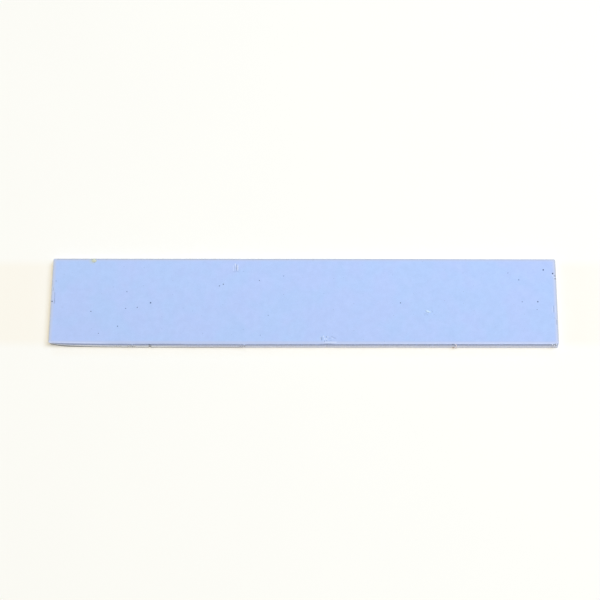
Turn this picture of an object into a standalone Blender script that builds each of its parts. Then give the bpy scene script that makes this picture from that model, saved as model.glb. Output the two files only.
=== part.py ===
"""Thermal gap pad: one strip of soft, ceramic-filled silicone, cut with a knife from a moulded sheet.

The strip is a single solid. Its foot lies flat on Z = 0, and the origin is under its middle.
X runs along the strip, Y across it towards the back, and Z up through its thickness.
"""

import math

import bmesh
import bpy

# The flat top face, which is the size that such a strip is sold by
LENGTH = 0.120
WIDTH = 0.021

# The gap that the strip fills
THICKNESS = 0.0020

# The soft sheet spreads under the blade, so the cut faces stand further out at the foot than at the top
SIDE_FLARE = 0.00035
END_FLARE = 0.00015

# The two end cuts are parallel but slightly out of square: their back ends sit this far towards +X
END_SKEW = 0.00030

# The upright corners, as left by two crossing cuts
CORNER_RADIUS = 0.00040
CORNER_STEPS = 4

# The edge round the top face, which the liner's pressure has rounded over
TOP_EDGE_RADIUS = 0.00020
TOP_EDGE_STEPS = 3

# The blade ran in at the front left corner, and it took more off the foot than off the top
TRIM_LENGTH = 0.0045
TRIM_DEPTH_AT_FOOT = 0.00060
TRIM_DEPTH_AT_TOP = 0.00020

# Edges sharper than this stay crisp in the shading
CREASE_ANGLE = math.radians(35)

PAD_COLOUR = (0.43, 0.56, 0.87, 1.0)
PAD_ROUGHNESS = 0.62


def clear_scene():
    """Removes whatever the scene holds."""
    for obj in list(bpy.data.objects):
        bpy.data.objects.remove(obj)


def silicone_material():
    """Matt periwinkle blue silicone."""
    material = bpy.data.materials.new("blue_silicone")
    material.use_nodes = True
    shader = material.node_tree.nodes["Principled BSDF"]
    shader.inputs["Base Color"].default_value = PAD_COLOUR
    shader.inputs["Roughness"].default_value = PAD_ROUGHNESS
    shader.inputs["Metallic"].default_value = 0.0
    material.diffuse_color = PAD_COLOUR
    return material


def strip_outline(end_growth, side_growth, trim_depth):
    """The strip's plan, anticlockwise from the trimmed corner, grown by a flare at its ends and sides."""
    half_length = LENGTH / 2 + end_growth
    half_width = WIDTH / 2 + side_growth
    skew = END_SKEW / 2
    front_left = -half_length - skew
    return [
        (front_left, -half_width + trim_depth),
        (front_left + TRIM_LENGTH, -half_width),
        (half_length - skew, -half_width),
        (half_length + skew, half_width),
        (-half_length + skew, half_width),
    ]


def build_strip():
    """The slab between its foot and its top face, with rounded corners and a rounded top edge."""
    foot_plan = strip_outline(END_FLARE, SIDE_FLARE, TRIM_DEPTH_AT_FOOT)
    top_plan = strip_outline(0.0, 0.0, TRIM_DEPTH_AT_TOP)
    bm = bmesh.new()
    foot = [bm.verts.new((x, y, 0.0)) for x, y in foot_plan]
    top = [bm.verts.new((x, y, THICKNESS)) for x, y in top_plan]
    rims = []
    for ring in (foot, top):
        rims += [bm.edges.new((ring[i - 1], ring[i])) for i in range(len(ring))]
    bmesh.ops.bridge_loops(bm, edges=rims)
    bmesh.ops.contextual_create(bm, geom=foot)
    bmesh.ops.contextual_create(bm, geom=top)
    bmesh.ops.recalc_face_normals(bm, faces=bm.faces)

    upright = [e for e in bm.edges if abs(e.verts[0].co.z - e.verts[1].co.z) > THICKNESS / 2]
    round_edges(bm, upright, CORNER_RADIUS, CORNER_STEPS)
    top_rim = [e for e in bm.edges if min(v.co.z for v in e.verts) > THICKNESS / 2]
    round_edges(bm, top_rim, TOP_EDGE_RADIUS, TOP_EDGE_STEPS)

    mesh = bpy.data.meshes.new("thermal_pad")
    bm.to_mesh(mesh)
    bm.free()
    return mesh


def round_edges(bm, edges, radius, steps):
    """Rounds the given edges over."""
    bmesh.ops.bevel(
        bm,
        geom=edges,
        offset=radius,
        offset_type="OFFSET",
        segments=steps,
        profile=0.5,
        affect="EDGES",
        clamp_overlap=True,
    )


def main():
    clear_scene()
    mesh = build_strip()
    mesh.materials.append(silicone_material())
    pad = bpy.data.objects.new("thermal_pad", mesh)
    bpy.context.scene.collection.objects.link(pad)
    mesh.shade_smooth()
    mesh.set_sharp_from_angle(angle=CREASE_ANGLE)


main()
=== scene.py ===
"""Thermal gap pad, dressed: a strip of soft blue silicone with knife-cut edges, pinholes and a little grit.

The file is laid out as a Blender add-on. Its panel in the 3D view's sidebar lists one button for the strip,
one for the grit that clings to it and one for the stage, and each reads the panel's sizes and colours.
"""

import math

import bmesh
import bpy
from mathutils import Matrix, Vector, noise


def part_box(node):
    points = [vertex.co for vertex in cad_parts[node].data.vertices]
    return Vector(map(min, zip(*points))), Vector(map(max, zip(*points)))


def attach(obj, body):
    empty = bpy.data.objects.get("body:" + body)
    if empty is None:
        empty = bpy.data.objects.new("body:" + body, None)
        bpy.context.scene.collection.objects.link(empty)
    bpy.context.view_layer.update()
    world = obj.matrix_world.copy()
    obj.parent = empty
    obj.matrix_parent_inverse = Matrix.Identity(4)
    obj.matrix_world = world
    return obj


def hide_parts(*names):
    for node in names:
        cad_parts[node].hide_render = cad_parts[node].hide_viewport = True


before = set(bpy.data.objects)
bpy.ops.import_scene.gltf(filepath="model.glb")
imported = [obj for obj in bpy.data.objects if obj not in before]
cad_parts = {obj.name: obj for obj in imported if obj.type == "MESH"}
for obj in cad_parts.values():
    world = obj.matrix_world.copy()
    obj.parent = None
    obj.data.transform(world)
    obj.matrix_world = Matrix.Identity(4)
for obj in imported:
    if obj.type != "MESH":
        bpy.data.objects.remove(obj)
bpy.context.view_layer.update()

bl_info = {
    "name": "Thermal Gap Pad",
    "version": (1, 0, 0),
    "blender": (4, 5, 0),
    "location": "View3D > Sidebar > Gap Pad",
    "description": "Builds a knife-cut silicone gap pad with its grit, and a pale stage for it",
    "category": "Add Mesh",
}

STRIP_LOW, STRIP_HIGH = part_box("thermal_pad")

MM = 0.001
THICKNESS = STRIP_HIGH.z - STRIP_LOW.z

# Pinholes that show on the top face: place along the strip, place across it and diameter, in millimetres
PINHOLES = (
    (57.13, 7.80, 0.44),
    (59.32, 6.90, 0.44),
    (55.47, -0.06, 0.38),
    (55.20, -1.98, 0.22),
    (51.17, 5.32, 0.30),
    (48.67, 7.03, 0.24),
    (51.76, -0.09, 0.26),
    (22.90, -0.40, 0.30),
    (-4.83, 6.21, 0.25),
    (-8.44, -3.48, 0.23),
    (-10.60, 5.07, 0.26),
    (-10.28, -8.31, 0.22),
    (-19.18, 4.16, 0.32),
    (-20.10, 3.74, 0.29),
    (-36.36, -0.45, 0.42),
    (-39.48, -1.57, 0.28),
    (-42.06, 2.30, 0.28),
    (-42.20, -1.83, 0.27),
    (-43.96, -6.16, 0.30),
    (-48.40, -7.90, 0.25),
    (-50.40, -2.55, 0.28),
    (-59.71, -0.12, 0.38),
    (-59.00, 4.90, 0.23),
)

# Depth of a pinhole, as a share of its diameter
PINHOLE_DEPTH_SHARE = 0.7

# Scores in the top face, in millimetres: start, end, width, and rise, which is negative for a groove. The
# last value is how pale a ridge is, or how much painted shade and grime a groove holds.
SCORES = (
    # Three lips that something pointed pushed up near the back edge, with grooves between them darkened by
    # painted shade
    ((-16.85, 8.70), (-16.82, 7.60), 0.34, 0.03, 0.50),
    ((-16.60, 8.60), (-16.56, 7.25), 0.26, -0.02, 0.14),
    ((-16.34, 9.20), (-16.32, 7.50), 0.36, 0.06, 1.00),
    ((-16.08, 9.05), (-16.06, 7.50), 0.30, -0.09, 0.48),
    ((-15.86, 8.80), (-15.82, 7.70), 0.58, 0.08, 1.00),
    ((-16.70, 7.30), (-15.60, 7.36), 0.36, -0.02, 0.17),
    ((-15.50, 8.30), (-15.48, 7.55), 0.26, -0.03, 0.14),
    # Dirt on the back edge beside the ochre crumb
    ((-50.85, 10.42), (-50.20, 10.42), 0.40, -0.01, 0.36),
    # Scuff by the middle of the front edge
    ((3.85, -8.60), (3.85, -9.40), 0.26, 0.02, 0.45),
    ((4.12, -8.80), (4.12, -9.50), 0.24, -0.06, 0.50),
    ((4.60, -8.52), (4.64, -8.74), 0.34, 0.04, 1.00),
    ((4.86, -8.50), (4.86, -8.58), 0.24, -0.03, 0.34),
    ((4.86, -9.02), (4.84, -9.32), 0.36, 0.04, 0.85),
    ((4.84, -9.60), (4.86, -9.82), 0.28, -0.04, 0.42),
    ((5.32, -8.58), (5.32, -8.86), 0.28, -0.04, 0.38),
    ((5.22, -9.02), (5.30, -9.30), 0.32, 0.04, 0.80),
    ((5.34, -9.54), (5.36, -9.66), 0.30, -0.04, 0.42),
    ((5.56, -8.55), (5.60, -8.68), 0.30, 0.04, 0.90),
    ((5.90, -9.05), (6.25, -9.10), 0.26, -0.02, 0.22),
    ((6.45, -8.58), (7.40, -9.08), 0.28, -0.04, 0.30),
    ((6.60, -8.90), (7.00, -9.20), 0.28, 0.03, 0.50),
    ((6.10, -9.54), (6.60, -9.62), 0.26, -0.02, 0.20),
    ((5.08, -9.78), (5.10, -9.95), 0.26, 0.03, 0.70),
    ((4.90, -9.98), (7.60, -9.98), 0.34, 0.03, 0.85),
    ((4.60, -9.75), (4.62, -9.90), 0.26, 0.03, 0.70),
    # Nibbled rim at the right end, and short cuts beside it
    ((59.20, 6.40), (59.30, 6.34), 0.36, 0.05, 1.00),
    ((59.62, 6.38), (59.95, 6.22), 0.30, -0.06, 0.65),
    ((59.50, 5.86), (59.80, 5.76), 0.40, 0.05, 1.00),
    ((59.72, 5.60), (60.02, 5.54), 0.32, -0.07, 0.75),
    ((59.12, -1.10), (59.12, -2.60), 0.26, -0.04, 0.36),
    ((59.40, -1.20), (59.40, -2.60), 0.26, 0.03, 0.60),
    ((58.88, -1.20), (58.88, -2.60), 0.26, 0.02, 0.40),
    ((59.15, -3.95), (59.35, -4.20), 0.30, -0.02, 0.22),
    ((59.62, -4.30), (59.64, -5.60), 0.26, -0.04, 0.40),
    # The same at the left end
    ((-59.16, 2.10), (-59.15, 0.90), 0.26, -0.04, 0.38),
    ((-59.15, 0.70), (-59.14, -0.60), 0.26, -0.05, 0.46),
    ((-59.55, 3.25), (-59.50, 2.60), 0.26, -0.04, 0.32),
    ((-59.88, 5.10), (-59.80, 3.60), 0.30, -0.02, 0.12),
    ((-59.30, 3.10), (-59.28, 2.70), 0.26, 0.03, 0.60),
    # Dents round the sliver, darkened by painted shade
    ((28.75, -2.95), (29.25, -3.30), 0.42, -0.03, 0.18),
    ((30.25, -2.25), (30.42, -2.62), 0.38, -0.03, 0.22),
    ((28.45, -2.95), (28.50, -3.45), 0.28, -0.02, 0.16),
)

# Nicks that the blade left in the front cut, in millimetres: place along the strip, width, depth at the
# foot, and how far the top edge is drawn out over the nick, which is negative where the edge is notched too
FRONT_NICKS = (
    (-44.30, 0.20, 0.05, 0.00),
    (-43.40, 0.20, 0.05, 0.00),
    (-41.24, 0.18, 0.09, 0.08),
    (-40.76, 0.18, 0.10, 0.14),
    (-40.29, 0.22, 0.10, 0.28),
    (-39.82, 0.18, 0.07, 0.14),
    (-36.35, 0.36, 0.13, 0.00),
    (-14.91, 0.18, 0.07, 0.16),
    (-14.44, 0.18, 0.07, 0.12),
    (-13.97, 0.22, 0.08, 0.30),
    (5.35, 0.34, 0.05, 0.00),
    (9.10, 0.30, 0.04, 0.00),
    (10.0, 0.26, 0.04, 0.00),
    (35.10, 0.36, 0.06, -0.01),
    (58.67, 0.20, 0.08, -0.01),
    (59.14, 0.20, 0.08, -0.04),
)

# Nicks in the right end, in the same way, with their places across the strip
RIGHT_NICKS = (
    (6.30, 0.36, 0.06, -0.04),
    (5.50, 0.40, 0.07, -0.04),
    (1.05, 0.30, 0.04, 0.00),
    (-6.2, 0.35, 0.04, 0.00),
)

# Streaks of painted shade down the front cut, in its nicks and under its drawn-out lips: place along the
# strip, lower and upper end and width, in millimetres, and strength
FRONT_STREAKS = (
    (-44.30, 0.3, 1.0, 0.30, 0.14),
    (-43.40, 0.3, 1.0, 0.30, 0.12),
    (-41.47, 0.0, 0.8, 0.17, 0.26),
    (-40.99, 0.0, 0.8, 0.17, 0.30),
    (-40.52, 0.0, 0.8, 0.17, 0.34),
    (-40.05, 0.0, 0.8, 0.17, 0.24),
    (-36.32, 0.2, 1.4, 0.48, 0.60),
    (-14.99, -0.1, 0.7, 0.18, 0.34),
    (-14.51, -0.1, 0.7, 0.20, 0.34),
    (-14.04, -0.1, 0.7, 0.20, 0.46),
    (-41.00, 1.68, 1.82, 0.20, 0.34),
    (-40.53, 1.68, 1.82, 0.20, 0.28),
    (-40.06, 1.68, 1.82, 0.20, 0.28),
    (-14.67, 1.68, 1.82, 0.20, 0.22),
    (-14.20, 1.68, 1.82, 0.20, 0.26),
    (-13.73, 1.68, 1.82, 0.20, 0.26),
    (5.35, 0.3, 1.0, 0.34, 0.16),
    (35.10, 1.45, 1.68, 0.38, 0.90),
    (58.67, 1.1, 1.8, 0.20, 0.45),
    (59.14, 0.9, 1.9, 0.20, 0.45),
    (59.61, 1.2, 1.9, 0.20, 0.45),
)

# How much more the front cut flares than the back one
FRONT_EXTRA_FLARE = 0.03 * MM

# How far the whole back cut stands back, and how far the front cut's foot does so on the left
BACK_SETBACK = 0.02 * MM
FOOT_RECESS = 0.09 * MM

# Stretches along the strip where its left part gives way to the rest: the recess of the front cut's foot and
# the sweep die out, and the blade's second stroke ends
FOOT_RECESS_END = (-50 * MM, -40 * MM)
SWEEP_END = (-60 * MM, -46 * MM)
SECOND_STROKE_END = (-29.5 * MM, -26.5 * MM)

# Stretches over which the long cuts run in, and how much the front cut's foot and the back cut share in that
FRONT_TAPER = (-20 * MM, 60 * MM)
BACK_TAPER = (20 * MM, 60 * MM)
LOW_TAPER_SHARE = 0.3

# Dent that the scuff left in the front edge: its depth, its place along the strip and its reach
SCUFF_DENT = 0.11 * MM
SCUFF_PLACE = 5.6 * MM
SCUFF_REACH = 2.4 * MM

# Length over which the blade ran in at the front left corner, and what it took off there at every height
RUN_IN_LENGTH = 5 * MM
RUN_IN_DEPTH = 0.03 * MM

# How far in from the cut faces the top face and the foot give way with them
GIVING_BAND = 1.5 * MM

# Heights as shares of the thickness: where a nick turns into its lip, where the second stroke's step grows,
# and the middle and reach of the hollow
LIP_HEIGHTS = (0.6, 1.0)
STEP_HEIGHTS = (0.0, 0.7)
HOLLOW_MIDDLE = 0.72
HOLLOW_REACH = 0.28

# How sharply the flare turns out at the foot, and the depth of the ripples that the blade dragged up
FLARE_POWER = 2.6
DRAG_DEPTH = 0.035 * MM

# Ochre dust on the back edge, in millimetres: place along the strip, place across it and radius
DUST_SPOT = (-50.55, 10.00, 1.10)


def length_setting(precision=5, **details):
    """A size that the panel offers, in metres."""
    return bpy.props.FloatProperty(unit="LENGTH", precision=precision, **details)


def colour_setting(**details):
    """A colour that the panel offers."""
    return bpy.props.FloatVectorProperty(subtype="COLOR", min=0.0, max=1.0, **details)


class StripSettings(bpy.types.PropertyGroup):
    """Sizes of the cut strip."""

    side_flare: length_setting(
        name="Side flare",
        description="How far the long cut faces stand further out at the foot than at the top",
        default=0.33 * MM,
    )
    end_flare: length_setting(
        name="End flare",
        description="How far the end faces stand further out at the foot than at the top",
        default=0.15 * MM,
    )
    end_skew: length_setting(
        name="End skew",
        description="How far the back ends of both end cuts sit towards the right",
        default=0.17 * MM,
    )
    hollow: length_setting(
        name="Hollow of the cut",
        description="Depth by which the blade hollowed the cut faces below the top edge",
        default=0.05 * MM,
    )
    corner_radius: length_setting(
        name="Corner radius",
        description="Radius of the upright corners, seen from above",
        default=0.40 * MM,
    )
    rim_radius: length_setting(
        name="Rim radius",
        description="Radius of the rounded edge round the top face",
        default=0.15 * MM,
    )
    foot_radius: length_setting(
        name="Foot radius",
        description="Radius of the rounded edge round the foot",
        default=0.05 * MM,
    )
    grid_pitch: length_setting(
        name="Grid pitch",
        description="Distance between the lines of the strip's mesh",
        default=0.30 * MM,
    )
    wander: length_setting(
        name="Blade wander",
        description="How far the blade strays from a straight line",
        default=0.02 * MM,
    )
    stroke_step: length_setting(
        name="Stroke step",
        description="How much further back the blade's second stroke runs, on the left of the front cut",
        default=0.06 * MM,
    )
    sweep: length_setting(
        name="Sweep",
        description="How far the front cut swings back at the left end",
        default=0.17 * MM,
    )
    taper: length_setting(
        name="Taper",
        description="How far the front cut's top edge runs in towards the right end",
        default=0.14 * MM,
    )
    left_recess: length_setting(
        name="Left recess",
        description="How much shorter the blade left the strip at its left end",
        default=0.06 * MM,
    )
    trim: length_setting(
        name="Trim",
        description="How much more the blade took off the foot where it ran in, at the front left corner",
        default=0.60 * MM,
    )
    waviness: length_setting(
        name="Waviness",
        description="How far the moulded faces rise and fall",
        default=0.012 * MM,
        precision=6,
    )


class SiliconeSettings(bpy.types.PropertyGroup):
    """Colours and finish of the silicone."""

    sky: colour_setting(
        name="Sky blue",
        description="Skin colour where the sheet is a touch greener",
        default=(0.421, 0.563, 0.879),
    )
    lavender: colour_setting(
        name="Lavender",
        description="Skin colour where the sheet is a touch redder",
        default=(0.440, 0.555, 0.881),
    )
    # Painted shade: the cut is made darker just below the top edge, where shade falls under the edge
    cut_upper_shade: colour_setting(
        name="Upper cut",
        description="Colour of the cut faces just below the top edge",
        default=(0.365, 0.445, 0.73),
    )
    # Partly the blade's whitening, partly painted light from the floor
    cut_lower_pale_lit: colour_setting(
        name="Lower cut",
        description="Colour of the cut faces near the foot, where the blade whitened them",
        default=(0.78, 0.82, 0.99),
    )
    # Partly the second stroke's whitening, partly painted light from the floor
    cut_left_pale_lit: colour_setting(
        name="Left cut",
        description="The same on the left, where the blade's second stroke left the cut whiter",
        default=(0.90, 0.93, 1.0),
    )
    # Painted highlight: a pale line just inside the top edge
    rim_highlight: colour_setting(
        name="Rim line",
        description="Colour of the pale line just inside the top edge, in front and on the right",
        default=(0.61, 0.68, 0.93),
    )
    rim_haze: colour_setting(
        name="Rim haze",
        description="Colour of the broad, slightly greyer band along the top edge",
        default=(0.505, 0.572, 0.80),
    )
    # Painted shade: the rounded top edge is darkened and greyed
    rim_shade: colour_setting(
        name="Rim dirt",
        description="Colour of the top edge itself, which handling has greyed",
        default=(0.47, 0.49, 0.51),
    )
    worn: colour_setting(
        name="Stressed silicone",
        description="Colour where the silicone was bent or scuffed and turned pale",
        default=(0.66, 0.74, 0.94),
    )
    dust: colour_setting(
        name="Dust",
        description="Colour of the dust that is rubbed into the back edge",
        default=(0.48, 0.56, 0.54),
    )
    # Painted shade in the pinholes, grooves and nicks and at the foot of the front cut, with some real grime
    shade_and_grime: colour_setting(
        name="Grime",
        description="Colour of what settled in the pinholes and nicks",
        default=(0.055, 0.075, 0.13),
    )
    roughness: bpy.props.FloatProperty(
        name="Roughness",
        description="Middle value of the skin's roughness",
        default=0.62,
        min=0.0,
        max=1.0,
        subtype="FACTOR",
    )


class GritSettings(bpy.types.PropertyGroup):
    """Colours of the grit that clings to the strip."""

    ochre: colour_setting(
        name="Ochre crumb",
        description="Colour of the crumb on the back edge",
        default=(0.61, 0.64, 0.52),
    )
    brown: colour_setting(
        name="Brown crumbs",
        description="Colour of the crumbs at the foot of the front cut",
        default=(0.60, 0.51, 0.48),
    )
    # Paler than the skin: partly painted highlight on the sliver's raised top
    pale: colour_setting(
        name="Pale sliver",
        description="Colour of the sliver of silicone that lies on the top face",
        default=(0.58, 0.74, 0.98),
    )
    rough: colour_setting(
        name="Edge crumbs",
        description="Colour of the silicone crumbs at the front right corner",
        default=(0.80, 0.85, 0.96),
    )
    lint: colour_setting(
        name="Lint",
        description="Colour of the curled fibre on the front cut",
        default=(0.96, 0.89, 0.91),
    )


class StageSettings(bpy.types.PropertyGroup):
    """Camera, light and floor."""

    elevation: bpy.props.FloatProperty(
        name="Elevation",
        description="Height of the camera above the horizon",
        default=math.radians(75.0),
        unit="ROTATION",
    )
    azimuth: bpy.props.FloatProperty(
        name="Azimuth",
        description="Turn of the camera about the strip, from straight in front towards the right",
        default=math.radians(0.07),
        unit="ROTATION",
    )
    distance: bpy.props.FloatProperty(
        name="Distance",
        description="Distance from the camera to the point that it looks at",
        default=0.296,
        unit="LENGTH",
    )
    aim: bpy.props.FloatVectorProperty(
        name="Aim",
        description="Point that the camera looks at, on the plane of the top face",
        default=(-0.92 * MM, 0.28 * MM, THICKNESS),
        subtype="TRANSLATION",
        unit="LENGTH",
        precision=5,
    )
    focal_length: bpy.props.FloatProperty(
        name="Focal length",
        description="Lens of the camera, in millimetres on a sensor 36 mm wide",
        default=74.89,
    )
    floor_colour: colour_setting(
        name="Floor colour",
        description="Colour of the table top",
        default=(0.925, 0.905, 0.852),
    )
    # Painted shade on the table top beside the strip
    floor_shade_colour: colour_setting(
        name="Floor cast",
        description="Colour of the table top beyond the strip's ends and right in front of it",
        default=(0.915, 0.870, 0.780),
    )
    floor_glow: bpy.props.FloatProperty(
        name="Floor glow",
        description="Light that comes through the table top",
        default=0.04,
        min=0.0,
    )
    sky_strength: bpy.props.FloatProperty(
        name="Room light",
        description="Strength of the even light from all round",
        default=0.30,
        min=0.0,
    )
    overhead_power: bpy.props.FloatProperty(
        name="Overhead power",
        description="Power of the softbox overhead, in watts",
        default=5.95,
        min=0.0,
    )
    side_power: bpy.props.FloatProperty(
        name="Side power",
        description="Power of the softbox on the right, in watts",
        default=4.8,
        min=0.0,
    )


def smooth_step(value, low, high):
    """0 up to low, 1 from high, and an even rise between them."""
    share = min(1.0, max(0.0, (value - low) / (high - low)))
    return share * share * (3.0 - 2.0 * share)


def bump_shape(distance, radius):
    """1 at no distance, falling smoothly to 0 at the radius."""
    if abs(distance) >= radius:
        return 0.0
    return (1.0 - (distance / radius) ** 2) ** 2


def distance_to_segment(point, start, end):
    """Distance in the plane from a point to a straight stretch."""
    run = end - start
    share = max(0.0, min(1.0, (point - start).dot(run) / run.length_squared))
    return (point - start - run * share).length


def gridded_slab(length, width, height, pitch):
    """A closed box that stands on Z = 0, with a grid of the given pitch on its six faces."""
    bm = bmesh.new()
    bmesh.ops.create_cube(bm, size=1.0)
    bmesh.ops.scale(bm, vec=(length, width, height), verts=bm.verts)
    bmesh.ops.translate(bm, vec=(0.0, 0.0, height / 2), verts=bm.verts)
    for axis, (span, step) in enumerate(((length, pitch), (width, pitch), (height, pitch / 2))):
        along = [e for e in bm.edges if abs(e.verts[1].co[axis] - e.verts[0].co[axis]) > span / 2]
        bmesh.ops.subdivide_edges(bm, edges=along, cuts=round(span / step) - 1, use_grid_fill=True)
    return bm


def round_rim(bm, length, width, height, radius, segments):
    """Rounds the edge that runs round the slab at a height."""
    reach = Vector((length, width)) / 2
    near = radius / 10

    def on_rim(vert):
        at_side = abs(vert.co.x) > reach.x - near or abs(vert.co.y) > reach.y - near
        return at_side and abs(vert.co.z - height) < near

    rim = [e for e in bm.edges if on_rim(e.verts[0]) and on_rim(e.verts[1])]
    bmesh.ops.bevel(
        bm,
        geom=rim,
        offset=radius,
        offset_type="OFFSET",
        segments=segments,
        profile=0.5,
        affect="EDGES",
        clamp_overlap=True,
        material=-1,
    )


def refine(bm, inside, cuts):
    """Splits the edges whose two ends both lie inside."""
    edges = [e for e in bm.edges if inside(e.verts[0].co) and inside(e.verts[1].co)]
    bmesh.ops.subdivide_edges(bm, edges=edges, cuts=cuts, use_grid_fill=True)


def refine_round(bm, centre, radius, cuts, floor_height):
    """Splits the edges near a point, above a height."""

    def inside(place):
        return place.z > floor_height and (place.xy - centre).length < radius

    refine(bm, inside, cuts)


def refine_details(bm, length, width):
    """Gives the pinholes, scores, nicks and corners a finer mesh."""
    top_only = THICKNESS * 0.95
    everywhere = -1.0
    pinhole_margin = 0.25 * MM
    score_margin = 0.2 * MM
    front_nick_reach = 0.33 * MM
    right_nick_reach = 0.45 * MM
    cut_band = 0.32 * MM
    corner_reach = 0.8 * MM
    for x, y, diameter in PINHOLES:
        refine_round(bm, Vector((x, y)) * MM, diameter * MM + pinhole_margin, 3, top_only)
    for start, end, score_width, _, _ in SCORES:
        a, b = Vector(start) * MM, Vector(end) * MM
        reach = score_width * MM / 2 + score_margin

        def near_score(place):
            return place.z > top_only and distance_to_segment(place.xy, a, b) < reach

        refine(bm, near_score, 2)
    refine_round(bm, Vector(DUST_SPOT[:2]) * MM, DUST_SPOT[2] * MM, 1, top_only)
    for x_sign in (-1, 1):
        for y_sign in (-1, 1):
            corner = Vector((x_sign * length / 2, y_sign * width / 2))
            refine_round(bm, corner, corner_reach, 1, everywhere)

    def near_front_nick(place):
        on_cut = place.y < -width / 2 + cut_band
        return on_cut and min(abs(place.x - x * MM) for x, *_ in FRONT_NICKS) < front_nick_reach

    refine(bm, near_front_nick, 3)

    def near_right_nick(place):
        on_cut = place.x > length / 2 - cut_band
        return on_cut and min(abs(place.y - y * MM) for y, *_ in RIGHT_NICKS) < right_nick_reach

    refine(bm, near_right_nick, 1)


def nick_depth(nicks, place, share):
    """Depth of the nicks at a place along a cut and a height share, below 0 where the edge is drawn out."""
    near_top = smooth_step(share, *LIP_HEIGHTS)
    depth = 0.0
    for centre, width, foot_depth, lip in nicks:
        shape = bump_shape(place - centre * MM, width * MM)
        depth += (foot_depth * (1.0 - near_top) - lip * near_top) * MM * shape
    return depth


def nick_shade_streaks(x, z):
    """Painted shade of the streaks in the nicks and under the drawn-out lips, at a place on the front cut.
    """
    here = Vector((x, z))
    shade_and_grime = 0.0
    for centre, low, high, width, strength in FRONT_STREAKS:
        away = distance_to_segment(here, Vector((centre, low)) * MM, Vector((centre, high)) * MM)
        shade_and_grime = max(shade_and_grime, strength * bump_shape(away, width * MM))
    return shade_and_grime


def front_reach(x, share, settings):
    """How far the front cut stands out at a place along it, with 0 for the foot and 1 for the top."""
    near_top = smooth_step(share, *LIP_HEIGHTS)
    first_stroke = smooth_step(x, *SECOND_STROKE_END)
    to_right = max(0.0, (x - FRONT_TAPER[0]) / (FRONT_TAPER[1] - FRONT_TAPER[0]))
    reach = cut_profile(settings.side_flare + FRONT_EXTRA_FLARE, share, settings)
    reach -= nick_depth(FRONT_NICKS, x, share)
    reach -= settings.stroke_step * (1.0 - first_stroke) * smooth_step(share, *STEP_HEIGHTS)
    reach -= settings.sweep * (1.0 - smooth_step(x, *SWEEP_END))
    reach -= FOOT_RECESS * (1.0 - smooth_step(x, *FOOT_RECESS_END)) * (1.0 - share)
    reach -= settings.taper * to_right * (LOW_TAPER_SHARE + (1.0 - LOW_TAPER_SHARE) * share)
    reach -= SCUFF_DENT * bump_shape(x - SCUFF_PLACE, SCUFF_REACH) * near_top
    return reach


def cut_profile(flare, share, settings):
    """How far a cut face stands out at a height share: hollow below the top edge, flared at the foot."""
    hollow = settings.hollow * bump_shape(share - HOLLOW_MIDDLE, HOLLOW_REACH)
    return flare * (1.0 - share) ** FLARE_POWER - hollow


def blade_wander(along, side, settings):
    """How far the blade strays at a place along its cut."""
    slow = noise.noise(Vector((along * 90.0, side * 7.3, 1.7)))
    quick = noise.noise(Vector((along * 900.0, side * 3.1, 5.9)))
    return settings.wander * (slow + 0.35 * quick)


def drag_marks(along, share, side):
    """Ripples that the sticky silicone keeps from the blade, stronger towards the foot."""
    ripple = noise.noise(Vector((along * 1600.0, share * 2.0, side * 11.0)))
    patch = smooth_step(noise.noise(Vector((along * 160.0, side * 4.0, 9.0))), -0.1, 0.5)
    return DRAG_DEPTH * ripple * (0.35 + 0.65 * patch) * (1.0 - 0.6 * share)


def round_corner(x, y, reach, radius):
    """Moves a place near an upright corner of the slab from the square onto the round one."""
    u = (abs(x) - reach.x + radius) / radius
    v = (abs(y) - reach.y + radius) / radius
    if u <= 0.0 or v <= 0.0:
        return x, y
    round_u = u * math.sqrt(1.0 - v * v / 2)
    round_v = v * math.sqrt(1.0 - u * u / 2)
    round_x = math.copysign(reach.x - radius + round_u * radius, x)
    round_y = math.copysign(reach.y - radius + round_v * radius, y)
    return round_x, round_y


def cut_the_sides(place, reach, settings):
    """Moves a place of the slab to where the blade left it."""
    x, y = round_corner(place.x, place.y, reach, settings.corner_radius)
    share = place.z / THICKNESS
    side_weight = smooth_step(abs(place.y), reach.y - GIVING_BAND, reach.y)
    end_weight = smooth_step(abs(place.x), reach.x - GIVING_BAND, reach.x)
    if place.y < 0:
        side_reach = front_reach(x, share, settings)
        side_reach += blade_wander(x, 1, settings) + drag_marks(x, share, 1)
        y -= side_reach * side_weight
    else:
        side_reach = cut_profile(settings.side_flare, share, settings)
        side_reach -= BACK_SETBACK + LOW_TAPER_SHARE * settings.taper * smooth_step(x, *BACK_TAPER)
        side_reach += blade_wander(x, 2, settings) + drag_marks(x, share, 2)
        y += side_reach * side_weight
    if place.x < 0:
        end_reach = cut_profile(settings.end_flare, share, settings) - settings.left_recess
        end_reach += blade_wander(y, 3, settings) + drag_marks(y, share, 3)
        x -= end_reach * end_weight
    else:
        end_reach = cut_profile(settings.end_flare, share, settings) - nick_depth(RIGHT_NICKS, y, share)
        end_reach += blade_wander(y, 4, settings) + drag_marks(y, share, 4)
        x += end_reach * end_weight
    run_in = min(1.0, max(0.0, 1.0 - (reach.x + place.x) / RUN_IN_LENGTH))
    trim = run_in * run_in * side_weight * (place.y < 0)
    y += trim * (settings.trim * (1.0 - share) + RUN_IN_DEPTH)
    x += settings.end_skew * place.y / (2 * reach.y)
    return x, y


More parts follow.
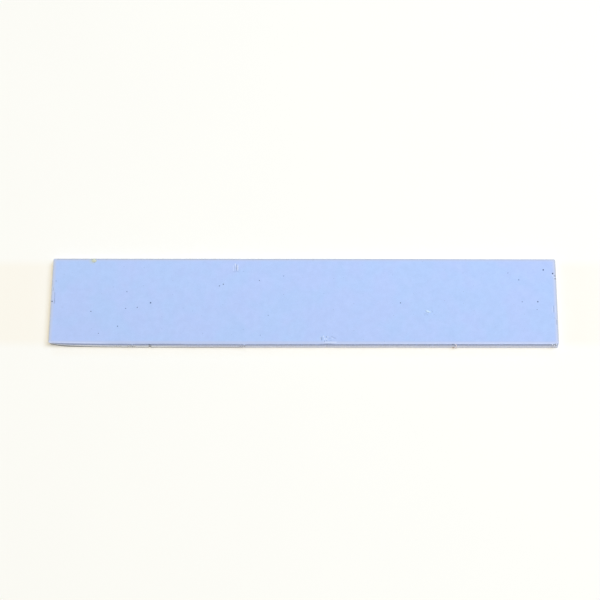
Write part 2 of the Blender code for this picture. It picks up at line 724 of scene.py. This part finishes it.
def sheet_relief(x, y, on_top, settings):
    """Rise and fall of a moulded face, the painted shade and grime in its pinholes and grooves, and the
    stress marks there.
    """
    level = settings.waviness * noise.noise(Vector((x * 110.0, y * 110.0, 3.0 if on_top else 8.0)))
    level += 0.25 * settings.waviness * noise.noise(Vector((x * 700.0, y * 700.0, 6.0)))
    shade_and_grime, stress = 0.0, 0.0
    if not on_top:
        return level, shade_and_grime, stress
    here = Vector((x, y))
    for pin_x, pin_y, diameter in PINHOLES:
        away = (here - Vector((pin_x, pin_y)) * MM).length
        radius = diameter * MM / 2
        if away < 2 * radius:
            # The hole, darkened with painted shade, and a faint raised ring round it
            hole = bump_shape(away, radius)
            level -= PINHOLE_DEPTH_SHARE * diameter * MM * hole
            level += 0.04 * diameter * MM * bump_shape(away - 1.15 * radius, 0.5 * radius)
            shade_and_grime = max(shade_and_grime, smooth_step(hole, 0.0, 0.55))
    for start, end, width, rise, strength in SCORES:
        away = distance_to_segment(here, Vector(start) * MM, Vector(end) * MM)
        shape = bump_shape(away, width * MM / 2)
        level += rise * MM * shape
        if rise > 0:
            stress = max(stress, strength * shape)
        else:
            shade_and_grime = max(shade_and_grime, strength * shape)
    return level, shade_and_grime, stress


def rim_inset(place, reach, facing):
    """Way from the top edge along the skin: above 0 on the top face, below 0 down the cut and beneath."""
    inside = min(reach.x - abs(place.x), reach.y - abs(place.y))
    if facing < -0.5:
        return -THICKNESS - inside
    return inside - (THICKNESS - place.z)


def build_strip_mesh(settings):
    """The strip: a gridded slab with rounded rims, whose faces carry the marks of making and handling."""
    length = (STRIP_HIGH.x - STRIP_LOW.x) - 2 * settings.end_flare - settings.end_skew
    width = (STRIP_HIGH.y - STRIP_LOW.y) - 2 * settings.side_flare
    reach = Vector((length, width)) / 2
    bm = gridded_slab(length, width, THICKNESS, settings.grid_pitch)
    round_rim(bm, length, width, THICKNESS, settings.rim_radius, 3)
    round_rim(bm, length, width, 0.0, settings.foot_radius, 2)
    refine_details(bm, length, width)
    bmesh.ops.recalc_face_normals(bm, faces=bm.faces)
    bm.normal_update()

    layers = {name: bm.verts.layers.float.new(name) for name in ("cut", "shade_and_grime", "stress", "dust", "inset")}
    for vert in bm.verts:
        facing = vert.normal.z
        cut = 1.0 - smooth_step(abs(facing), 0.2, 0.95)
        x, y = cut_the_sides(vert.co, reach, settings)
        level, shade_and_grime, stress = sheet_relief(x, y, facing > 0, settings)
        if vert.co.y < -reach.y + settings.rim_radius:
            shade_and_grime = max(shade_and_grime, nick_shade_streaks(x, vert.co.z))
        flat_share = smooth_step(abs(facing), 0.3, 1.0)
        z = vert.co.z
        if facing > 0:
            z += level * flat_share
        elif facing < 0:
            z += abs(level) * flat_share
        vert[layers["cut"]] = cut
        vert[layers["shade_and_grime"]] = shade_and_grime
        vert[layers["stress"]] = stress * (1.0 - cut)
        vert[layers["inset"]] = rim_inset(vert.co, reach, facing) / MM
        away = (Vector((x, y)) - Vector(DUST_SPOT[:2]) * MM).length
        vert[layers["dust"]] = bump_shape(away, DUST_SPOT[2] * MM)
        vert.co = (x, y, z)
    mesh = bpy.data.meshes.new("silicone_strip")
    bm.to_mesh(mesh)
    bm.free()
    mesh.shade_smooth()
    return mesh


def add_node(tree, kind, inputs=None, **settings):
    """Adds a shader node. Inputs are sockets to link or values to set, by name or number."""
    node = tree.nodes.new("ShaderNode" + kind)
    for name, value in settings.items():
        setattr(node, name, value)
    for name, value in (inputs or {}).items():
        if isinstance(value, bpy.types.NodeSocket):
            tree.links.new(value, node.inputs[name])
        else:
            node.inputs[name].default_value = value
    return node


def maths(tree, operation, first, second=0.0, clamp=False):
    """The result of one sum on two sockets or numbers."""
    node = add_node(tree, "Math", {0: first, 1: second}, operation=operation, use_clamp=clamp)
    return node.outputs[0]


def spread(tree, value, low, high, to_low=0.0, to_high=1.0):
    """A value's range from low to high, smoothly carried over to another range."""
    ranges = {"Value": value, "From Min": low, "From Max": high, "To Min": to_low, "To Max": to_high}
    node = add_node(tree, "MapRange", ranges, interpolation_type="SMOOTHSTEP")
    return node.outputs["Result"]


def mix_colours(tree, share, first, second):
    """The first colour where share is 0, and the second where it is 1."""
    node = add_node(tree, "Mix", {0: share, 6: first, 7: second}, data_type="RGBA")
    return node.outputs[2]


def noise_value(tree, place, scale, detail=2.0, roughness=0.5):
    """Soft noise with about scale bumps to the metre."""
    inputs = {"Vector": place, "Scale": scale, "Detail": detail, "Roughness": roughness}
    return add_node(tree, "TexNoise", inputs).outputs["Fac"]


def opaque(colour):
    """A colour with full alpha."""
    return (*colour, 1.0)


def new_material(name):
    """A material with its node tree, its shader and its object coordinates."""
    material = bpy.data.materials.new(name)
    material.use_nodes = True
    tree = material.node_tree
    shader = tree.nodes["Principled BSDF"]
    place = add_node(tree, "TexCoord").outputs["Object"]
    return material, tree, shader, place


def scaled_colour(tree, colour, factor):
    """A colour made lighter or darker."""
    return add_node(tree, "VectorMath", {0: colour, "Scale": factor}, operation="SCALE").outputs[0]


def band(tree, value, centre, reach):
    """1 where the value is at the centre, falling smoothly to 0 at the reach on both sides."""
    away = maths(tree, "ABSOLUTE", maths(tree, "SUBTRACT", value, centre))
    return spread(tree, away, 0.0, reach, 1.0, 0.0)


def skin_colour(tree, place, settings):
    """Faint clouds between two blues, soft blotches and the filler's fine grain, and painted light that
    makes the skin paler towards the back.
    """
    clouds = spread(tree, noise_value(tree, place, 170.0, 3.0), 0.35, 0.65)
    skin = mix_colours(tree, clouds, opaque(settings.sky), opaque(settings.lavender))
    blotches = spread(tree, noise_value(tree, place, 800.0, 4.0, 0.65), 0.25, 0.75, 0.975, 1.025)
    grain = spread(tree, noise_value(tree, place, 6000.0, 1.0), 0.2, 0.8, 0.965, 1.035)
    across = add_node(tree, "SeparateXYZ", {0: place}).outputs["Y"]
    # Painted light: the skin is made a little paler towards the back
    back_light = spread(tree, across, STRIP_LOW.y, STRIP_HIGH.y, 0.990, 1.012)
    tone = maths(tree, "MULTIPLY", maths(tree, "MULTIPLY", blotches, grain), back_light)
    return scaled_colour(tree, skin, tone)


def cut_colour(tree, axes, drag_lines, settings):
    """Painted shade below the top edge; near the foot paler, partly the blade's whitening and partly painted
    light from the floor, more so on the left; upright drag lines.
    """
    change = (-33 * MM, -26 * MM)
    to_right = spread(tree, axes["X"], *change)
    # Painted shade reaches down from the top edge; the pale foot is partly painted light
    pale_lit_up_to = spread(tree, axes["X"], *change, 0.34 * THICKNESS, 0.26 * THICKNESS)
    shade_down_to = spread(tree, axes["X"], *change, 0.47 * THICKNESS, 0.66 * THICKNESS)
    height = spread(tree, axes["Z"], pale_lit_up_to, shade_down_to)
    lower = mix_colours(tree, to_right, opaque(settings.cut_left_pale_lit), opaque(settings.cut_lower_pale_lit))
    colour = mix_colours(tree, height, lower, opaque(settings.cut_upper_shade))
    return scaled_colour(tree, colour, spread(tree, drag_lines, 0.3, 0.7, 0.93, 1.04))


def foot_contact_shadow(tree, axes, inset):
    """Painted contact shadow along the foot of the front cut: strong on the left, most so at that end, thin
    on the right.
    """
    reach = spread(tree, axes["X"], -56 * MM, -51 * MM, 0.75 * MM, 0.40 * MM)
    low = spread(tree, axes["Z"], 0.05 * MM, reach, 1.0, 0.0)
    front = spread(tree, axes["Y"], STRIP_LOW.y + 0.7 * MM, STRIP_LOW.y + 1.3 * MM, 1.0, 0.0)
    off_underside = spread(tree, inset, -2.35, -2.05)
    near_end = spread(tree, axes["X"], -52 * MM, -44 * MM, 0.25, 0.0)
    along = spread(tree, axes["X"], -15.4 * MM, -13.8 * MM, 0.74, 0.14)
    strength = maths(tree, "ADD", near_end, along)
    place = maths(tree, "MULTIPLY", maths(tree, "MULTIPLY", low, front), off_underside)
    return maths(tree, "MULTIPLY", place, strength)


def by_end(tree, ends, elsewhere, left, right):
    """A value that differs at the left and right ends, which are given as two masks."""
    at_left, at_right = ends
    middle = maths(tree, "SUBTRACT", 1.0, maths(tree, "ADD", at_left, at_right))
    value = maths(tree, "MULTIPLY", middle, elsewhere)
    value = maths(tree, "ADD", value, maths(tree, "MULTIPLY", at_left, left))
    return maths(tree, "ADD", value, maths(tree, "MULTIPLY", at_right, right))


def add_rim_colours(tree, place, axes, inset, colour, settings):
    """Lays a broad haze, painted shade on the rounding and a painted highlight, a pale line, along the top
    edge, over a colour.
    """
    uneven = spread(tree, noise_value(tree, place, 1500.0, 3.0, 0.6), 0.3, 0.7, 0.65, 1.0)
    at_left = spread(tree, axes["X"], STRIP_LOW.x + 1.1 * MM, STRIP_LOW.x + 1.6 * MM, 1.0, 0.0)
    at_right = spread(tree, axes["X"], STRIP_HIGH.x - 1.6 * MM, STRIP_HIGH.x - 1.1 * MM)
    in_front = spread(tree, axes["Y"], STRIP_LOW.y + 0.9 * MM, STRIP_LOW.y + 1.4 * MM, 1.0, 0.0)
    ends = (at_left, at_right)

    # The haze is narrow at the back, broader in front and on the left, and broadest on the right
    haze_reach = by_end(tree, ends, spread(tree, in_front, 0.0, 1.0, 0.60, 0.85), 0.85, 1.00)
    haze_strength = by_end(tree, ends, spread(tree, in_front, 0.0, 1.0, 0.72, 0.85), 0.60, 0.52)
    haze = maths(tree, "MULTIPLY", band(tree, inset, 0.30, haze_reach), haze_strength)
    haze_colour = scaled_colour(tree, settings.rim_haze, spread(tree, in_front, 0.0, 1.0, 1.0, 0.95))
    colour = mix_colours(tree, haze, colour, haze_colour)

    # Painted shade on the rounding: none in front, grey at both ends, and at the back darker towards the
    # left
    back_shade = spread(tree, axes["X"], -30 * MM, 50 * MM, 0.95, 0.60)
    back_shade = maths(tree, "MULTIPLY", back_shade, maths(tree, "SUBTRACT", 1.0, in_front))
    shaded_rim = band(tree, inset, -0.03, by_end(tree, ends, 0.54, 0.90, 0.85))
    shaded_rim = maths(tree, "MULTIPLY", shaded_rim, spread(tree, inset, -0.35, -0.08))
    shaded_rim = maths(tree, "MULTIPLY", shaded_rim, by_end(tree, ends, back_shade, 0.60, 0.95))
    rim_shade_colour = scaled_colour(tree, settings.rim_shade, by_end(tree, ends, 0.82, 1.10, 1.0))
    colour = mix_colours(tree, maths(tree, "MULTIPLY", shaded_rim, uneven), colour, rim_shade_colour)

    # The painted highlight, a pale line, runs along the front close to its left end and over its right half,
    # and up the right end
    front_line = spread(tree, axes["X"], -25 * MM, 50 * MM, 0.0, 0.90)
    front_line = maths(tree, "MAXIMUM", front_line, spread(tree, axes["X"], -50 * MM, -44 * MM, 0.80, 0.0))
    front_line = maths(tree, "MULTIPLY", front_line, in_front)
    line = maths(tree, "MULTIPLY", band(tree, inset, 0.20, 0.40), front_line)
    end_line = maths(tree, "MULTIPLY", band(tree, inset, 0.42, 0.40), maths(tree, "MULTIPLY", at_right, 0.5))
    line = maths(tree, "MULTIPLY", maths(tree, "MAXIMUM", line, end_line), uneven)
    return mix_colours(tree, line, colour, opaque(settings.rim_highlight))


def silicone_material(settings):
    """Matt, ceramic-filled silicone: mottled skin, cuts with painted shade below the edge and pale feet that
    are partly whitened and partly painted light, stressed places, and pinholes darkened with painted shade.
    """
    material, tree, shader, place = new_material("blue_silicone")
    cut = add_node(tree, "Attribute", attribute_name="cut").outputs["Fac"]
    shade_and_grime = add_node(tree, "Attribute", attribute_name="shade_and_grime").outputs["Fac"]
    stress = add_node(tree, "Attribute", attribute_name="stress").outputs["Fac"]
    inset = add_node(tree, "Attribute", attribute_name="inset").outputs["Fac"]
    dust = add_node(tree, "Attribute", attribute_name="dust").outputs["Fac"]
    axes = add_node(tree, "SeparateXYZ", {0: place}).outputs

    stretched = add_node(tree, "Mapping", {"Vector": place, "Scale": (1.0, 1.0, 0.08)}).outputs[0]
    drag_lines = noise_value(tree, stretched, 3800.0, 2.0, 0.6)
    skin = skin_colour(tree, place, settings)
    colour = mix_colours(tree, cut, skin, cut_colour(tree, axes, drag_lines, settings))

    colour = add_rim_colours(tree, place, axes, inset, colour, settings)
    colour = mix_colours(tree, stress, colour, opaque(settings.worn))
    colour = mix_colours(tree, maths(tree, "MULTIPLY", dust, 0.85), colour, opaque(settings.dust))
    # Painted contact shadow at the foot of the front cut
    colour = mix_colours(tree, foot_contact_shadow(tree, axes, inset), colour, opaque(settings.shade_and_grime))

    # Pinpricks: one to a cell, most of them too small to see, painted dark as the shade in tiny holes
    flat = add_node(tree, "CombineXYZ", {0: axes["X"], 1: axes["Y"]}).outputs[0]
    cells = add_node(tree, "TexVoronoi", {"Vector": flat, "Scale": 420.0}, voronoi_dimensions="2D")
    chance = add_node(tree, "SeparateXYZ", {0: cells.outputs["Color"]}).outputs["X"]
    size = spread(tree, chance, 0.60, 1.0, 0.0, 0.030)
    pricks = maths(tree, "LESS_THAN", cells.outputs["Distance"], size)
    pricks = maths(tree, "MULTIPLY", pricks, maths(tree, "SUBTRACT", 1.0, cut))
    # Painted shade in the pinholes, grooves, nicks and pinpricks, mixed with real grime
    dark = maths(tree, "MAXIMUM", shade_and_grime, maths(tree, "MULTIPLY", pricks, 0.45))
    colour = mix_colours(tree, dark, colour, opaque(settings.shade_and_grime))
    tree.links.new(colour, shader.inputs["Base Color"])

    patchy = noise_value(tree, place, 500.0, 3.0)
    low, high = settings.roughness - 0.05, settings.roughness + 0.07
    rough = spread(tree, patchy, 0.3, 0.7, low, high)
    rough = maths(tree, "ADD", rough, maths(tree, "MULTIPLY", cut, 0.15), clamp=True)
    tree.links.new(rough, shader.inputs["Roughness"])

    # Relief in millimetres: fine grain all over, drag lines on the cut faces
    fine = maths(tree, "MULTIPLY", noise_value(tree, place, 5200.0, 2.0), 0.005)
    pores = maths(tree, "MULTIPLY", noise_value(tree, place, 2200.0, 2.0, 0.6), 0.005)
    lines = maths(tree, "MULTIPLY", maths(tree, "MULTIPLY", drag_lines, cut), 0.05)
    relief = maths(tree, "ADD", maths(tree, "ADD", fine, pores), lines)
    bump = add_node(tree, "Bump", {"Height": relief, "Strength": 1.0, "Distance": MM})
    tree.links.new(bump.outputs["Normal"], shader.inputs["Normal"])
    shader.inputs["Specular IOR Level"].default_value = 0.4
    shader.inputs["Sheen Weight"].default_value = 0.08
    shader.inputs["Sheen Roughness"].default_value = 0.5
    return material


def grit_material(name, colour, roughness, contrast):
    """A dull grain of dirt whose colour varies over its lumps."""
    material, tree, shader, place = new_material(name)
    tone = spread(tree, noise_value(tree, place, 6000.0, 3.0), 0.25, 0.75, 1.0 - contrast, 1.0 + contrast)
    tree.links.new(scaled_colour(tree, colour, tone), shader.inputs["Base Color"])
    shader.inputs["Roughness"].default_value = roughness
    relief = noise_value(tree, place, 14000.0, 2.0)
    bump = add_node(tree, "Bump", {"Height": relief, "Strength": 0.6, "Distance": 0.02 * MM})
    tree.links.new(bump.outputs["Normal"], shader.inputs["Normal"])
    return material


def lumpy_grain(bm, centre, size, turn, seed):
    """Adds one irregular grain, in millimetres. Its lowest point is at the height of the given centre."""
    made = bmesh.ops.create_icosphere(bm, subdivisions=4, radius=0.5)
    verts = made["verts"]
    for vert in verts:
        lump = noise.noise(vert.co * 3.1 + Vector((seed, 0.0, 0.0)))
        dimple = noise.noise(vert.co * 8.0 + Vector((0.0, seed, 0.0)))
        vert.co *= 1.0 + 0.55 * lump + 0.18 * dimple
    bmesh.ops.scale(bm, vec=Vector(size) * MM, verts=verts)
    bmesh.ops.rotate(bm, verts=verts, matrix=Matrix.Rotation(math.radians(turn), 3, "Z"), cent=(0, 0, 0))
    lowest = min(vert.co.z for vert in verts)
    bmesh.ops.translate(bm, vec=Vector(centre) * MM - Vector((0.0, 0.0, lowest)), verts=verts)


def finish_piece(name, bm, material):
    """Makes the piece's object at the origin and lets it ride on the strip's body."""
    bmesh.ops.recalc_face_normals(bm, faces=bm.faces)
    mesh = bpy.data.meshes.new(name)
    bm.to_mesh(mesh)
    bm.free()
    mesh.shade_smooth()
    mesh.materials.append(material)
    piece = bpy.data.objects.new(name, mesh)
    bpy.context.scene.collection.objects.link(piece)
    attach(piece, "root")


def curled_fibre(bm, points, radius, sides):
    """A thin tube along a smooth curve through points in millimetres, tapered to closed ends."""
    steps = 8
    path = []
    places = [Vector(point) * MM for point in points]
    last = len(places) - 1
    for i in range(last):
        before, start, end, after = (places[max(0, min(last, i + k))] for k in (-1, 0, 1, 2))
        for step in range(steps):
            t = step / steps
            bend = 0.5 * (
                2 * start
                + (end - before) * t
                + (2 * before - 5 * start + 4 * end - after) * t * t
                + (3 * start - before - 3 * end + after) * t ** 3
            )
            path.append(bend)
    path.append(places[-1])
    rings = []
    for i, here in enumerate(path):
        ahead = path[min(i + 1, len(path) - 1)] - path[max(i - 1, 0)]
        share = i / (len(path) - 1)
        girth = radius * MM * (0.35 + 0.65 * math.sin(math.pi * share) ** 0.5)
        turn = ahead.to_track_quat("Z", "Y").to_matrix().to_4x4()
        made = bmesh.ops.create_circle(
            bm,
            cap_ends=i in (0, len(path) - 1),
            segments=sides,
            radius=girth,
            matrix=Matrix.Translation(here) @ turn,
        )
        ring = made["verts"]
        rings.append([e for e in bm.edges if e.verts[0] in ring and e.verts[1] in ring])
    for i in range(len(rings) - 1):
        bmesh.ops.bridge_loops(bm, edges=rings[i] + rings[i + 1])


class GAP_PAD_OT_strip(bpy.types.Operator):
    """Builds the silicone strip in place of the plain solid."""

    bl_idname = "gap_pad.strip"
    bl_label = "Silicone Strip"
    bl_options = {"REGISTER", "UNDO"}

    def execute(self, context):
        scene = context.scene
        mesh = build_strip_mesh(scene.pad_strip)
        mesh.materials.append(silicone_material(scene.pad_silicone))
        strip = bpy.data.objects.new("silicone_strip", mesh)
        scene.collection.objects.link(strip)
        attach(strip, "root")
        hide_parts("thermal_pad")
        return {"FINISHED"}


class GAP_PAD_OT_grit(bpy.types.Operator):
    """Builds the crumbs, the sliver and the fibre that cling to the strip."""

    bl_idname = "gap_pad.grit"
    bl_label = "Clinging Grit"
    bl_options = {"REGISTER", "UNDO"}

    def execute(self, context):
        colours = context.scene.pad_grit
        top = THICKNESS / MM

        ochre = grit_material("ochre_grit", colours.ochre, 0.8, 0.12)
        bm = bmesh.new()
        lumpy_grain(bm, (-50.12, 9.96, top - 0.06), (0.84, 0.96, 0.17), 8, 2.0)
        finish_piece("ochre_crumb", bm, ochre)

        brown = grit_material("brown_grit", colours.brown, 0.85, 0.3)
        bm = bmesh.new()
        lumpy_grain(bm, (35.34, -10.82, 0.02), (0.50, 0.28, 0.28), 10, 5.0)
        lumpy_grain(bm, (35.95, -10.82, 0.01), (0.26, 0.16, 0.14), 60, 7.0)
        finish_piece("brown_crumbs", bm, brown)

        # The sliver's pale colour is partly painted highlight
        pale = grit_material("pale_sliver", colours.pale, 0.6, 0.05)
        bm = bmesh.new()
        lumpy_grain(bm, (29.44, -2.52, top - 0.03), (1.40, 0.46, 0.15), -24, 9.0)
        finish_piece("silicone_sliver", bm, pale)

        rough = grit_material("silicone_crumbs", colours.rough, 0.65, 0.08)
        bm = bmesh.new()
        lumpy_grain(bm, (58.42, -10.46, 1.70), (0.32, 0.32, 0.30), 0, 3.0)
        lumpy_grain(bm, (58.92, -10.52, 1.22), (0.28, 0.32, 0.62), 30, 11.0)
        lumpy_grain(bm, (59.38, -10.46, 1.34), (0.32, 0.40, 0.72), 70, 15.0)
        finish_piece("edge_crumbs", bm, rough)

        lint = grit_material("lint", colours.lint, 0.8, 0.05)
        bm = bmesh.new()
        curl = (
            (35.46, -10.36, 2.05),
            (35.66, -10.50, 2.02),
            (35.84, -10.62, 1.75),
            (35.92, -10.72, 1.25),
            (35.90, -10.80, 0.80),
            (35.72, -10.92, 0.45),
        )
        curled_fibre(bm, curl, 0.13, 8)
        finish_piece("lint_curl", bm, lint)
        return {"FINISHED"}


def add_softbox(name, place, size, power, colour):
    """A square softbox that faces the strip."""
    light = bpy.data.lights.new(name, "AREA")
    light.shape = "SQUARE"
    light.size = size
    light.energy = power
    light.color = colour
    softbox = bpy.data.objects.new(name, light)
    softbox.location = place
    softbox.rotation_mode = "QUATERNION"
    softbox.rotation_quaternion = (-Vector(place)).to_track_quat("-Z", "Y")
    bpy.context.scene.collection.objects.link(softbox)


def painted_floor_shade(tree, axes):
    """1 where the table top has painted shade, darker and warmer: beyond the strip's ends, and less of it
    right in front.

    On the right it ends soon after the border of the photograph's view, and on the left it runs on.
    """
    across = maths(tree, "ABSOLUTE", axes["Y"])
    beyond_ends = spread(tree, across, 8.5 * MM, 11.5 * MM, 1.0, 0.0)
    fading = spread(tree, axes["X"], 60 * MM, 84 * MM, 1.0, 0.0)
    ends = maths(tree, "MULTIPLY", beyond_ends, fading)
    before = spread(tree, axes["Y"], -13.8 * MM, -11.4 * MM, 0.0, 0.7)
    margin = maths(tree, "MULTIPLY", before, spread(tree, axes["Y"], -8 * MM, -6 * MM, 1.0, 0.0))
    along = maths(tree, "ABSOLUTE", axes["X"])
    margin = maths(tree, "MULTIPLY", margin, spread(tree, along, 58 * MM, 61 * MM, 1.0, 0.0))
    return maths(tree, "MAXIMUM", ends, margin)


def add_floor(settings):
    """A wide, pale table top that glows a little."""
    bm = bmesh.new()
    bmesh.ops.create_circle(bm, cap_ends=True, segments=96, radius=4.0)
    bmesh.ops.translate(bm, vec=(0.0, 0.0, -0.02 * MM), verts=bm.verts)
    mesh = bpy.data.meshes.new("table_top")
    bm.to_mesh(mesh)
    bm.free()
    material, tree, shader, place = new_material("white_table")
    tint = noise_value(tree, place, 30.0, 2.0)
    tone = spread(tree, tint, 0.3, 0.7, 0.995, 1.0)
    axes = add_node(tree, "SeparateXYZ", {0: place}).outputs
    # Painted shade: a darker, warmer table top beside the strip
    floor_shade_share = painted_floor_shade(tree, axes)
    colour = mix_colours(tree, floor_shade_share, opaque(settings.floor_colour), opaque(settings.floor_shade_colour))
    tree.links.new(scaled_colour(tree, colour, tone), shader.inputs["Base Color"])
    shader.inputs["Roughness"].default_value = 0.9
    shader.inputs["Specular IOR Level"].default_value = 0.1
    shader.inputs["Emission Color"].default_value = opaque(settings.floor_colour)
    shader.inputs["Emission Strength"].default_value = settings.floor_glow
    mesh.materials.append(material)
    floor = bpy.data.objects.new("table_top", mesh)
    bpy.context.scene.collection.objects.link(floor)


def add_room_light(settings):
    """Even, slightly warm light from all round."""
    world = bpy.data.worlds.new("pale_room")
    world.use_nodes = True
    tree = world.node_tree
    tree.nodes["Background"].inputs["Color"].default_value = (1.0, 0.96, 0.88, 1.0)
    tree.nodes["Background"].inputs["Strength"].default_value = settings.sky_strength
    bpy.context.scene.world = world


def add_camera(settings):
    """The camera, high in front of the strip."""
    lens = bpy.data.cameras.new("camera")
    lens.sensor_width = 36.0
    lens.lens = settings.focal_length
    lens.clip_start = 0.01
    lens.clip_end = 20.0
    camera = bpy.data.objects.new("camera", lens)
    level = math.cos(settings.elevation)
    back = Vector(
        (
            math.sin(settings.azimuth) * level,
            -math.cos(settings.azimuth) * level,
            math.sin(settings.elevation),
        )
    )
    camera.location = Vector(settings.aim) + back * settings.distance
    camera.rotation_mode = "QUATERNION"
    camera.rotation_quaternion = (-back).to_track_quat("-Z", "Y")
    bpy.context.scene.collection.objects.link(camera)
    bpy.context.scene.camera = camera


class GAP_PAD_OT_stage(bpy.types.Operator):
    """Sets up the camera, the softboxes and the pale table."""

    bl_idname = "gap_pad.stage"
    bl_label = "Stage"
    bl_options = {"REGISTER", "UNDO"}

    def execute(self, context):
        settings = context.scene.pad_stage
        add_camera(settings)
        add_floor(settings)
        add_room_light(settings)
        add_softbox("overhead_softbox", (0.0, 0.0, 1.0), 0.7, settings.overhead_power, (1.0, 0.95, 0.80))
        add_softbox("side_softbox", (0.47, 0.20, 0.83), 0.50, settings.side_power, (0.56, 0.71, 1.0))
        view = context.scene.view_settings
        view.view_transform = "Standard"
        view.look = "None"
        return {"FINISHED"}


class GAP_PAD_PT_panel(bpy.types.Panel):
    """Sidebar panel with the strip's settings and buttons."""

    bl_idname = "GAP_PAD_PT_panel"
    bl_label = "Thermal Gap Pad"
    bl_space_type = "VIEW_3D"
    bl_region_type = "UI"
    bl_category = "Gap Pad"

    def draw(self, context):
        for operator, groups in PANEL_LAYOUT:
            box = self.layout.box()
            for group in groups:
                settings = getattr(context.scene, group)
                for name in settings.__annotations__:
                    box.prop(settings, name)
            box.operator(operator)


PANEL_LAYOUT = (
    ("gap_pad.strip", ("pad_strip", "pad_silicone")),
    ("gap_pad.grit", ("pad_grit",)),
    ("gap_pad.stage", ("pad_stage",)),
)

SETTINGS = {
    "pad_strip": StripSettings,
    "pad_silicone": SiliconeSettings,
    "pad_grit": GritSettings,
    "pad_stage": StageSettings,
}

CLASSES = (*SETTINGS.values(), GAP_PAD_OT_strip, GAP_PAD_OT_grit, GAP_PAD_OT_stage, GAP_PAD_PT_panel)


def register():
    """Makes the settings, the operators and the panel known to Blender."""
    for cls in CLASSES:
        bpy.utils.register_class(cls)
    for name, group in SETTINGS.items():
        setattr(bpy.types.Scene, name, bpy.props.PointerProperty(type=group))


def unregister():
    """Takes them away again."""
    for name in SETTINGS:
        delattr(bpy.types.Scene, name)
    for cls in reversed(CLASSES):
        bpy.utils.unregister_class(cls)


def main():
    """Builds everything in order."""
    register()
    bpy.ops.gap_pad.strip()
    bpy.ops.gap_pad.grit()
    bpy.ops.gap_pad.stage()


if __name__ == "__main__":
    main()
